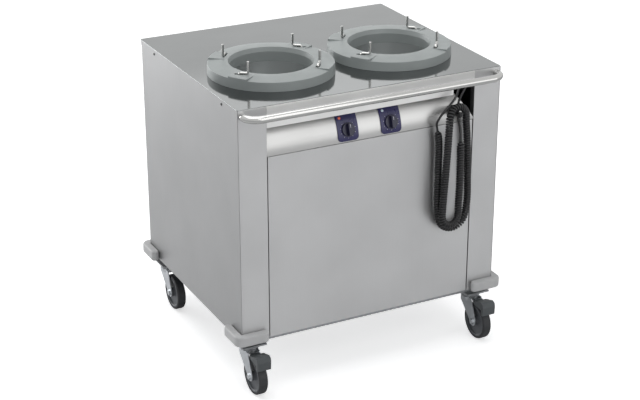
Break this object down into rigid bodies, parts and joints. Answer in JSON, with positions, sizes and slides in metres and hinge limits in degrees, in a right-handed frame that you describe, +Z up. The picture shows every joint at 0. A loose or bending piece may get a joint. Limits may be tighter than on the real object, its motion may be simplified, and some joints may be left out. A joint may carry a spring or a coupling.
{
  "type": "heated plate dispenser cart",
  "caption": "Steel plate dispenser cart on braked castors, with round sprung wells ringed in the worktop, a push rail, dial controls and a hung curly mains lead.",
  "frame": {"origin": "on the floor, under the middle of the bounding box of everything but the lead", "axes": "+Z up, -Y out of the front with the push rail and the dials, +X to the right as seen from the front"},
  "size_m": [0.98, 0.869, 1.046],
  "materials": {
    "brushed_steel_sheet": "fine brushed stainless sheet",
    "polished_steel": "bright stainless, nearly mirror",
    "galvanised_steel": "dull zinc coated steel",
    "zinc_plate": "bright zinc plated pressing",
    "grey_plastic": "smooth mid grey moulding",
    "bumper_plastic": "pale grey soft moulding",
    "hub_plastic": "dark grey moulding",
    "pedal_plastic": "dark grey moulding",
    "tyre_rubber": "dark grey rubber",
    "navy_plastic": "dark blue satin plate",
    "knob_plastic": "very dark blue moulding",
    "orange_lens": "orange indicator lens",
    "clear_lens": "pale indicator lens",
    "black_plastic": "black moulding",
    "cable_sheath": "black cable sheath"
  },
  "bodies": {
    "cabinet": {"base_frame": "galvanised_steel", "lead_recess": "galvanised_steel", "left_side_panel": "brushed_steel_sheet", "left_front_pillar": "brushed_steel_sheet", "right_side_panel": "brushed_steel_sheet", "right_front_pillar": "brushed_steel_sheet", "rear_panel": "brushed_steel_sheet", "front_panel": "brushed_steel_sheet", "front_apron": "brushed_steel_sheet", "control_fascia": "brushed_steel_sheet", "worktop": "polished_steel", "push_rail": "polished_steel", "left_bezel": "navy_plastic", "left_plate_ring": "grey_plastic", "left_well_tube": "brushed_steel_sheet", "left_lift_spring_rear": "galvanised_steel", "left_lift_spring_front_left": "galvanised_steel", "left_lift_spring_front_right": "galvanised_steel", "right_bezel": "navy_plastic", "right_plate_ring": "grey_plastic", "right_well_tube": "brushed_steel_sheet", "right_lift_spring_rear": "galvanised_steel", "right_lift_spring_front_left": "galvanised_steel", "right_lift_spring_front_right": "galvanised_steel", "left_lamp": "orange_lens", "right_lamp": "clear_lens", "front_left_bumper": "bumper_plastic", "front_right_bumper": "bumper_plastic", "rear_left_bumper": "bumper_plastic", "rear_right_bumper": "bumper_plastic", "cord_gland": "black_plastic", "plug": "black_plastic", "cord_peg": "black_plastic", "curly_cord": "cable_sheath"},
    "front_left_castor": {"front_left_fork": "zinc_plate"},
    "front_left_wheel": {"front_left_hub": "hub_plastic", "front_left_tyre": "tyre_rubber"},
    "front_left_brake": {"front_left_brake_pedal": "pedal_plastic"},
    "front_right_castor": {"front_right_fork": "zinc_plate"},
    "front_right_wheel": {"front_right_hub": "hub_plastic", "front_right_tyre": "tyre_rubber"},
    "front_right_brake": {"front_right_brake_pedal": "pedal_plastic"},
    "rear_left_castor": {"rear_left_fork": "zinc_plate"},
    "rear_left_wheel": {"rear_left_hub": "hub_plastic", "rear_left_tyre": "tyre_rubber"},
    "rear_right_castor": {"rear_right_fork": "zinc_plate"},
    "rear_right_wheel": {"rear_right_hub": "hub_plastic", "rear_right_tyre": "tyre_rubber"},
    "left_lift": {"left_platform": "brushed_steel_sheet"},
    "right_lift": {"right_platform": "brushed_steel_sheet"},
    "left_dial": {"left_knob": "knob_plastic"},
    "right_dial": {"right_knob": "knob_plastic"},
    "left_guide_rear_right_arm": {"left_guide_rear_right": "polished_steel"},
    "left_guide_rear_left_arm": {"left_guide_rear_left": "polished_steel"},
    "left_guide_front_left_arm": {"left_guide_front_left": "polished_steel"},
    "left_guide_front_right_arm": {"left_guide_front_right": "polished_steel"},
    "right_guide_rear_right_arm": {"right_guide_rear_right": "polished_steel"},
    "right_guide_rear_left_arm": {"right_guide_rear_left": "polished_steel"},
    "right_guide_front_left_arm": {"right_guide_front_left": "polished_steel"},
    "right_guide_front_right_arm": {"right_guide_front_right": "polished_steel"}
  },
  "joints": [
    {"name": "front_left_swivel", "type": "hinge", "parent": "cabinet", "child": "front_left_castor", "pos_m": [-0.417, -0.3165, 0.14], "axis": [0, 0, 1], "continuous": true},
    {"name": "front_left_roll", "type": "hinge", "parent": "front_left_castor", "child": "front_left_wheel", "pos_m": [-0.417, -0.3685, 0.0625], "axis": [1, 0, 0], "continuous": true},
    {"name": "front_left_brake_press", "type": "hinge", "parent": "front_left_castor", "child": "front_left_brake", "pos_m": [-0.417, -0.3655, 0.1337], "axis": [1, 0, 0], "range_deg": [0, 8]},
    {"name": "front_right_swivel", "type": "hinge", "parent": "cabinet", "child": "front_right_castor", "pos_m": [0.417, -0.3165, 0.14], "axis": [0, 0, 1], "continuous": true},
    {"name": "front_right_roll", "type": "hinge", "parent": "front_right_castor", "child": "front_right_wheel", "pos_m": [0.417, -0.3685, 0.0625], "axis": [1, 0, 0], "continuous": true},
    {"name": "front_right_brake_press", "type": "hinge", "parent": "front_right_castor", "child": "front_right_brake", "pos_m": [0.417, -0.3655, 0.1337], "axis": [1, 0, 0], "range_deg": [0, 8]},
    {"name": "rear_left_swivel", "type": "hinge", "parent": "cabinet", "child": "rear_left_castor", "pos_m": [-0.417, 0.3555, 0.14], "axis": [0, 0, 1], "continuous": true},
    {"name": "rear_left_roll", "type": "hinge", "parent": "rear_left_castor", "child": "rear_left_wheel", "pos_m": [-0.417, 0.3035, 0.0625], "axis": [1, 0, 0], "continuous": true},
    {"name": "rear_right_swivel", "type": "hinge", "parent": "cabinet", "child": "rear_right_castor", "pos_m": [0.417, 0.3555, 0.14], "axis": [0, 0, 1], "continuous": true},
    {"name": "rear_right_roll", "type": "hinge", "parent": "rear_right_castor", "child": "rear_right_wheel", "pos_m": [0.417, 0.3035, 0.0625], "axis": [1, 0, 0], "continuous": true},
    {"name": "left_lift_slide", "type": "slide", "parent": "cabinet", "child": "left_lift", "axis": [0, 0, 1], "range_m": [-0.42, 0], "stiffness_N_per_m": 700, "springref_m": 0.08, "deforming": ["left_lift_spring_rear", "left_lift_spring_front_left", "left_lift_spring_front_right"]},
    {"name": "right_lift_slide", "type": "slide", "parent": "cabinet", "child": "right_lift", "axis": [0, 0, 1], "range_m": [-0.42, 0], "stiffness_N_per_m": 700, "springref_m": 0.08, "deforming": ["right_lift_spring_rear", "right_lift_spring_front_left", "right_lift_spring_front_right"]},
    {"name": "left_dial_turn", "type": "hinge", "parent": "cabinet", "child": "left_dial", "pos_m": [-0.088, -0.3657, 0.84254], "axis": [0, -0.9548, 0.2972], "range_deg": [-270, 0]},
    {"name": "right_dial_turn", "type": "hinge", "parent": "cabinet", "child": "right_dial", "pos_m": [0.064, -0.3657, 0.84254], "axis": [0, -0.9548, 0.2972], "range_deg": [-270, 0]},
    {"name": "left_guide_rear_right_swing", "type": "hinge", "parent": "cabinet", "child": "left_guide_rear_right_arm", "pos_m": [-0.06712, -0.00229, 1.003], "axis": [0, 0, 1], "range_deg": [0, 60]},
    {"name": "left_guide_rear_left_swing", "type": "hinge", "parent": "cabinet", "child": "left_guide_rear_left_arm", "pos_m": [-0.31986, 0.03801, 1.003], "axis": [0, 0, 1], "range_deg": [0, 60]},
    {"name": "left_guide_front_left_swing", "type": "hinge", "parent": "cabinet", "child": "left_guide_front_left_arm", "pos_m": [-0.36088, -0.16071, 1.003], "axis": [0, 0, 1], "range_deg": [0, 60]},
    {"name": "left_guide_front_right_swing", "type": "hinge", "parent": "cabinet", "child": "left_guide_front_right_arm", "pos_m": [-0.10814, -0.20101, 1.003], "axis": [0, 0, 1], "range_deg": [0, 60]},
    {"name": "right_guide_rear_right_swing", "type": "hinge", "parent": "cabinet", "child": "right_guide_rear_right_arm", "pos_m": [0.36088, -0.00229, 1.003], "axis": [0, 0, 1], "range_deg": [0, 60]},
    {"name": "right_guide_rear_left_swing", "type": "hinge", "parent": "cabinet", "child": "right_guide_rear_left_arm", "pos_m": [0.10814, 0.03801, 1.003], "axis": [0, 0, 1], "range_deg": [0, 60]},
    {"name": "right_guide_front_left_swing", "type": "hinge", "parent": "cabinet", "child": "right_guide_front_left_arm", "pos_m": [0.06712, -0.16071, 1.003], "axis": [0, 0, 1], "range_deg": [0, 60]},
    {"name": "right_guide_front_right_swing", "type": "hinge", "parent": "cabinet", "child": "right_guide_front_right_arm", "pos_m": [0.31986, -0.20101, 1.003], "axis": [0, 0, 1], "range_deg": [0, 60]}
  ]
}
